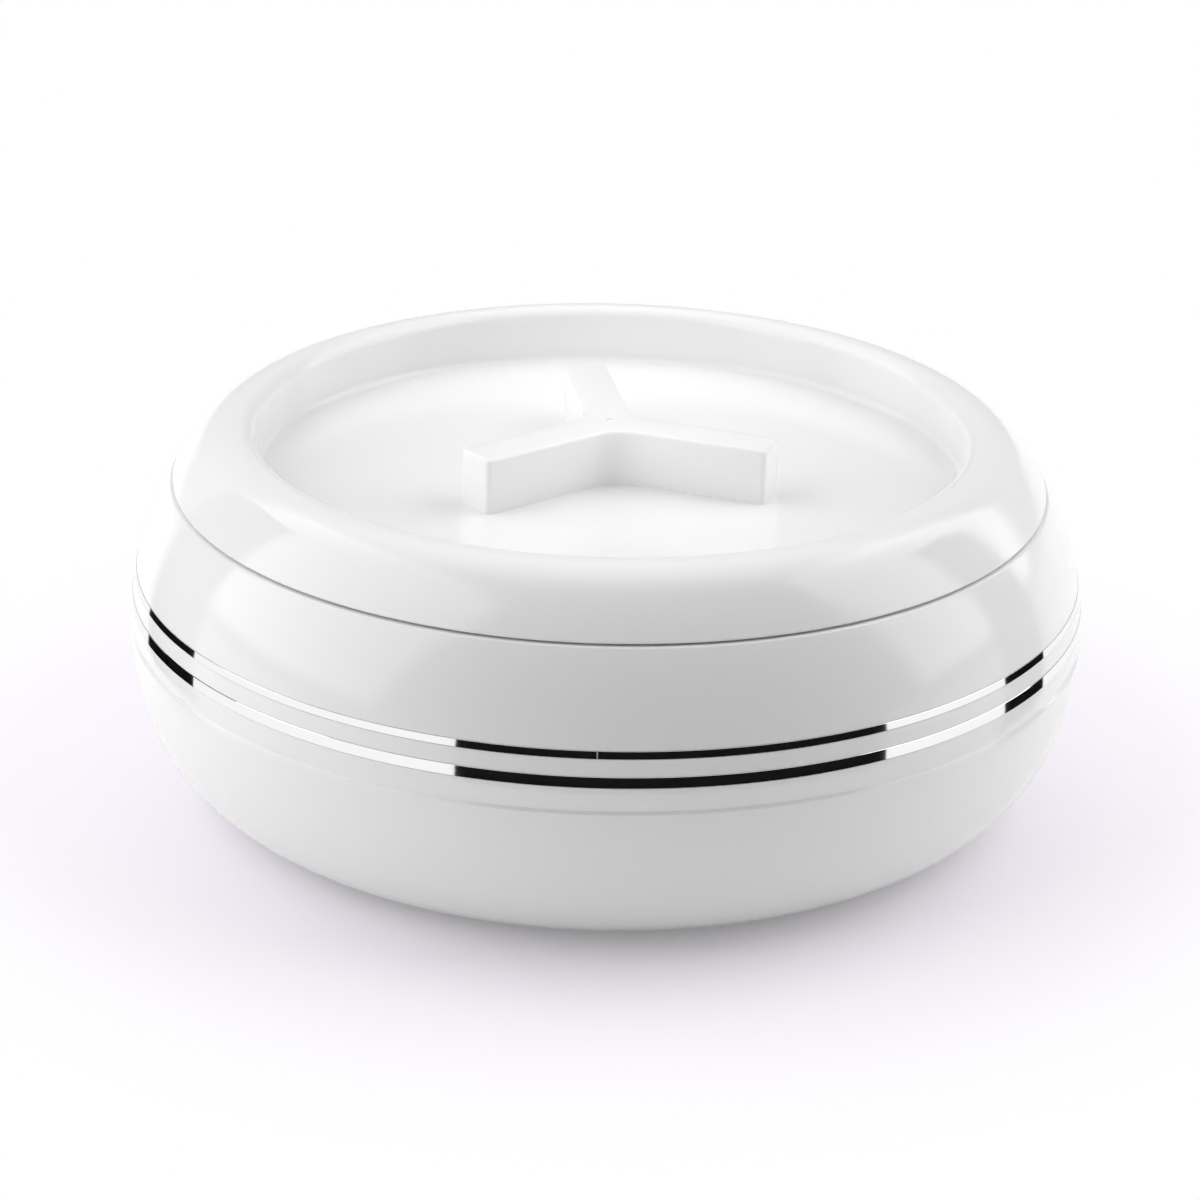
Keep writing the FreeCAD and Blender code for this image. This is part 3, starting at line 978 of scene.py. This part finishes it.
print("grip vertices", len(grip_piece.data.vertices))

# %% [markdown]
# A bevel breaks the grip's top edge. A short cylinder is cut from the middle of the top, and
# the tiny dimple that it leaves is where the plastic entered the tool.

# %% Break the grip's top edge
grip_top_round = 0.9
grip_bevel_steps = 5
gate_mark_r = 1.5
gate_mark_depth = 0.3
gate_mark_steps = 48


def pick_edges(piece, wanted):
    """Select, in edit mode, the edges for which wanted(edge) is true."""
    bpy.ops.object.mode_set(mode="EDIT")
    bpy.ops.mesh.select_mode(type="EDGE")
    bpy.ops.mesh.select_all(action="DESELECT")
    mesh = bmesh.from_edit_mesh(piece.data)
    for edge in mesh.edges:
        edge.select_set(wanted(edge))
    bmesh.update_edit_mesh(piece.data)


def on_top_rim(edge):
    return all(abs(vert.co.z - grip_top_z * MM) < merge_distance for vert in edge.verts)


deselect_all()
grip_piece.select_set(True)
bpy.context.view_layer.objects.active = grip_piece
pick_edges(grip_piece, on_top_rim)
bpy.ops.mesh.bevel(
    offset=grip_top_round * MM, segments=grip_bevel_steps, affect="EDGES", profile=0.5)
bpy.ops.object.mode_set(mode="OBJECT")
deselect_all()
bpy.ops.mesh.primitive_cylinder_add(
    vertices=gate_mark_steps, radius=gate_mark_r * MM, depth=2 * gate_mark_depth * MM,
    location=(0, 0, grip_top_z * MM))
combine(grip_piece, [bpy.context.object], "DIFFERENCE")
hand_over(grip_piece, white_abs, "lid", "white_shell", "lid_handle")
print("grip faces with bevel and gate mark", len(grip_piece.data.polygons))

# %% [markdown]
# Four pieces of the frame keep their own shape, because they are hidden or plain: the two
# foam fillings, the screws and the plug under the base. They only get their materials.

# %% Materials for the pieces that stay
for name, material in (
    ("body_insulation", foam),
    ("lid_insulation", foam),
    ("handle_screws", screw_zinc),
    ("foam_fill_plug", inner_white),
):
    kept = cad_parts[name]
    kept.data.materials.clear()
    kept.data.materials.append(material)
    print("kept", name)

# %% [markdown]
# The stage is a white card on a table. Near the pot it's lit and keeps the shadow, and
# further out it fades to plain white, as an overexposed studio sweep does. It also glows a
# little everywhere, which lifts the shadow. Fade and glow are only for the camera and for
# mirrors, so they add no light. The camera also sees the card as a little lilac: this is a
# painted tint of shade, which shows only in the shadow because the open card clips to white.

# %% Floor
floor_half = 4.0
fade_from = 0.11
fade_to = 0.22
floor_white = "fbfbfb"
# painted shade colour: the lilac that the camera sees only where the card lies in shadow
shadow_tint = "f8f1fc"
floor_glow = 0.22

deselect_all()
bpy.ops.mesh.primitive_plane_add(size=2 * floor_half)
floor = bpy.context.object
floor.name = "studio_floor"
floor_card, tree, shader, place = blank("white_studio_card")
rays = node(tree, "ShaderNodeLightPath")
# camera rays get the lilac, a painted tint for the shadow; other rays see the card white
tint = node(tree, "ShaderNodeMix", data_type="RGBA",
            links={"Factor": rays.outputs["Is Camera Ray"]},
            values={"A": srgb(floor_white), "B": srgb(shadow_tint)})
tree.links.new(tint.outputs["Result"], shader.inputs["Base Color"])
shader.inputs["Roughness"].default_value = 0.9
shader.inputs["Specular IOR Level"].default_value = 0.0
reach = node(tree, "ShaderNodeVectorMath", operation="LENGTH", links={"Vector": place})
fade = node(tree, "ShaderNodeMapRange", interpolation_type="SMOOTHSTEP",
            links={"Value": reach.outputs["Value"]},
            values={"From Min": fade_from, "From Max": fade_to, "To Min": floor_glow})
seen = node(tree, "ShaderNodeMath", operation="MAXIMUM",
            links={0: rays.outputs["Is Camera Ray"], 1: rays.outputs["Is Glossy Ray"]})
amount = node(tree, "ShaderNodeMath", operation="MULTIPLY",
              links={0: fade.outputs["Result"], 1: seen.outputs["Value"]})
glow = node(tree, "ShaderNodeEmission", values={"Color": srgb("ffffff"), "Strength": 1.0})
blend = node(tree, "ShaderNodeMixShader", links={
    0: amount.outputs["Value"],
    1: shader.outputs["BSDF"],
    2: glow.outputs["Emission"],
})
surface = [item for item in tree.nodes if item.bl_idname == "ShaderNodeOutputMaterial"][0]
tree.links.new(blend.outputs["Shader"], surface.inputs["Surface"])
floor.data.materials.append(floor_card)
print("the floor fades to white from", fade_from, "to", fade_to, "m from the middle")

# %% [markdown]
# The plated bands and the gloss wall mirror the room low round the pot: white where the
# photograph shows white, and black where black screens stood between the lights. The
# screens are arcs round the pot, at the angles that put the black stretches of the bands in
# their places. They're seen only in reflections and throw no shadow.

# %% Dark screens
screen_steps = 48
black_cloth, tree, shader, place = blank("black_screen_cloth")
shader.inputs["Base Color"].default_value = srgb("161616")
shader.inputs["Roughness"].default_value = 1.0
shader.inputs["Specular IOR Level"].default_value = 0.0


def screen(name, radius, start, end, height):
    """Upright arc round the pot, between two angles from the front (right is positive)."""
    turn = math.radians(start)
    arc = pen(name, (radius * math.sin(turn), -radius * math.cos(turn), MM))
    bpy.ops.mesh.extrude_vertices_move(TRANSFORM_OT_translate={"value": (0, 0, height)})
    bpy.ops.mesh.select_all(action="SELECT")
    sweep = -math.radians(end - start)
    bpy.ops.mesh.spin(steps=screen_steps, angle=sweep, center=(0, 0, 0), axis=TOP)
    bpy.ops.object.mode_set(mode="OBJECT")
    arc.data.materials.append(black_cloth)
    arc.visible_camera = False
    arc.visible_diffuse = False
    arc.visible_shadow = False
    arc.visible_transmission = False
    return arc


screens = [
    screen("front_screen", radius=0.25, start=-24.7, end=50.6, height=0.36),
    screen("left_screen", radius=0.19, start=-99.2, end=-77.0, height=0.18),
    screen("right_screen", radius=0.19, start=73.5, end=88.1, height=0.18),
]
print("screens", [item.name for item in screens])

# %% [markdown]
# Three soft panels light the pot: a large one high up behind it, a wide one at the left and a
# narrower one at the right. Their powers are balanced so that the crest and the flanks are as
# light as in the photograph.

# %% Soft panels
aim = Vector((0, 0, 0.05))


def panel(name, azimuth, elevation, distance, width, height, power):
    """Soft panel at an angle from the front (right is positive), facing the pot."""
    side = math.radians(azimuth)
    up = math.radians(elevation)
    offset = Vector((math.sin(side) * math.cos(up), -math.cos(side) * math.cos(up), math.sin(up)))
    lamp = bpy.data.lights.new(name, "AREA")
    lamp.shape = "RECTANGLE"
    lamp.size = width
    lamp.size_y = height
    lamp.energy = power
    obj = bpy.data.objects.new(name, lamp)
    bpy.context.scene.collection.objects.link(obj)
    obj.location = aim + offset * distance
    obj.rotation_euler = (-offset).to_track_quat("-Z", "Y").to_euler()
    return obj


panels = [
    panel("top_panel", azimuth=180, elevation=70, distance=1.3,
          width=1.8, height=1.2, power=4.2),
    panel("left_panel", azimuth=-84, elevation=32, distance=0.9,
          width=1.3, height=0.95, power=6.5),
    panel("right_panel", azimuth=98, elevation=32, distance=0.9,
          width=0.9, height=0.95, power=5.2),
]
print("panels", [lamp.name for lamp in panels])

# %% [markdown]
# A narrow spot from the front picks out the grip and the dish behind it. It's left out of
# reflections, where it would show as a glint on the gloss wall.

# %% Snoot on the grip
snoot_tilt = math.radians(32)
snoot_distance = 1.2
snoot_power = 22.0
snoot_angle = math.radians(7.2)
snoot_r = 0.05
snoot = bpy.data.lights.new("front_snoot", "SPOT")
snoot.energy = snoot_power
snoot.spot_size = snoot_angle
snoot.spot_blend = 1.0
snoot.shadow_soft_size = snoot_r
snoot_lamp = bpy.data.objects.new("front_snoot", snoot)
bpy.context.scene.collection.objects.link(snoot_lamp)
snoot_lamp.visible_glossy = False
snoot_aim = Vector((0, 0.045, 0.09))
snoot_way = Vector((0, -math.cos(snoot_tilt), math.sin(snoot_tilt)))
snoot_lamp.location = snoot_aim + snoot_way * snoot_distance
snoot_lamp.rotation_euler = (-snoot_way).to_track_quat("-Z", "Y").to_euler()
print("snoot at", [round(v, 3) for v in snoot_lamp.location])

# %% [markdown]
# Light from all round fills the shadows. It's much weaker from the front, a little to the
# right, where the photograph's camera side is dark. The camera itself sees plain white.

# %% Light from all round
dark_side = math.radians(17)
fill_strength = 0.465
fill_in_front = 0.047
fade_starts = 0.1
fade_ends = 0.9
world = bpy.data.worlds.new("studio")
bpy.context.scene.world = world
world.use_nodes = True
tree = world.node_tree
tree.nodes.clear()
rays = node(tree, "ShaderNodeLightPath")
seen = node(tree, "ShaderNodeBackground", values={"Color": srgb("ffffff"), "Strength": 1.0})
way = node(tree, "ShaderNodeTexCoord").outputs["Generated"]
ahead = node(tree, "ShaderNodeVectorMath", operation="DOT_PRODUCT", links={0: way},
             values={1: (math.sin(dark_side), -math.cos(dark_side), 0)})
level_of_fill = node(tree, "ShaderNodeMapRange", interpolation_type="SMOOTHSTEP",
                     links={"Value": ahead.outputs["Value"]},
                     values={"From Min": fade_starts, "From Max": fade_ends,
                             "To Min": fill_strength, "To Max": fill_in_front})
fill = node(tree, "ShaderNodeBackground", links={"Strength": level_of_fill.outputs["Result"]},
            values={"Color": srgb("f8f7f8")})
mixed = node(tree, "ShaderNodeMixShader", links={
    0: rays.outputs["Is Camera Ray"],
    1: fill.outputs["Background"],
    2: seen.outputs["Background"],
})
node(tree, "ShaderNodeOutputWorld", links={"Surface": mixed.outputs["Shader"]})
print("fill", fill_strength, "and in front", fill_in_front)

# %% [markdown]
# The camera is where the photograph's was: about a metre away with a long lens, looking down
# by 22.6 degrees and turned a little about its own line of sight.

# %% Camera
camera_distance = 0.992
camera_elevation = math.radians(22.57)
camera_roll = math.radians(1.42)
camera_lens = 109.8
sensor_mm = 36.0
camera_aim = Vector((0, 0, 0.0499))
aim_pixel = (606.8, 594.3)
frame_pixels = 1200

back = Vector((0, -math.cos(camera_elevation), math.sin(camera_elevation)))
right = Vector((1, 0, 0))
up = back.cross(right)
turned_right = right * math.cos(camera_roll) + up * math.sin(camera_roll)
turned_up = up * math.cos(camera_roll) - right * math.sin(camera_roll)
lens = bpy.data.cameras.new("view")
lens.lens = camera_lens
lens.sensor_width = sensor_mm
lens.shift_x = -(aim_pixel[0] - frame_pixels / 2) / frame_pixels
lens.shift_y = (aim_pixel[1] - frame_pixels / 2) / frame_pixels
camera = bpy.data.objects.new("view", lens)
bpy.context.scene.collection.objects.link(camera)
axes = Matrix((turned_right, turned_up, back)).transposed().to_4x4()
camera.matrix_world = Matrix.Translation(camera_aim + back * camera_distance) @ axes
bpy.context.scene.camera = camera
bpy.context.scene.view_settings.view_transform = "Standard"
print("camera at", [round(v, 3) for v in camera.location])
